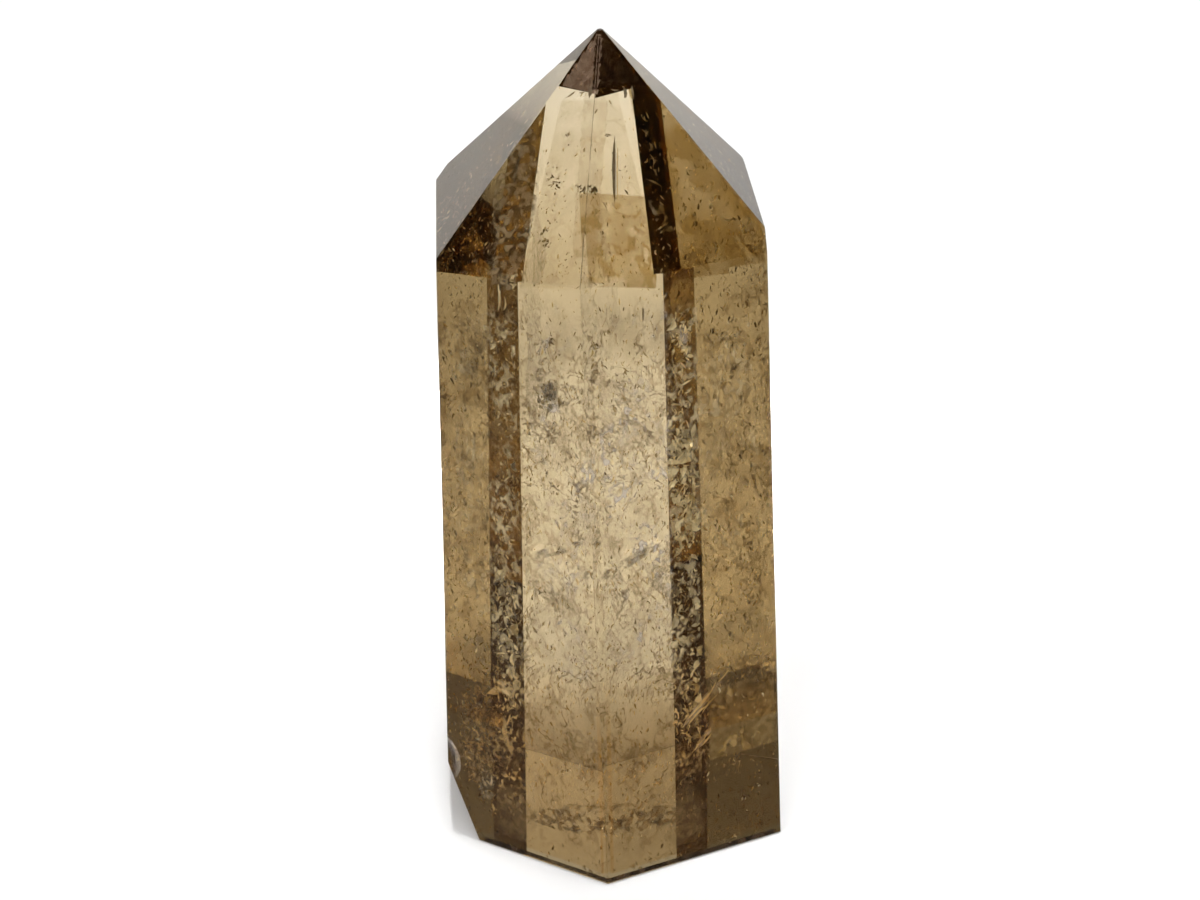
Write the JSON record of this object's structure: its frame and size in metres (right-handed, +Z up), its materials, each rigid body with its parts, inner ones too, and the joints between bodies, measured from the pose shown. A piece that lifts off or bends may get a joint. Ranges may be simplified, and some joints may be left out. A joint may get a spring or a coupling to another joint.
{
  "type": "smoky quartz point",
  "caption": "Polished six-sided smoky quartz tower with a pointed six-faced termination, a flat foot it stands on and a broken lower corner.",
  "frame": {"origin": "on the flat foot, under the middle of the bounding box", "axes": "+Z up the length of the stone towards its tip, -Y towards the front upright edge, +X to its right"},
  "size_m": [0.0334, 0.038, 0.0797],
  "materials": {
    "smoky_quartz": "polished natural smoky quartz, see-through brown, with pale and dark flecks inside"
  },
  "bodies": {
    "root": {"quartz_point": "smoky_quartz"}
  },
  "joints": []
}
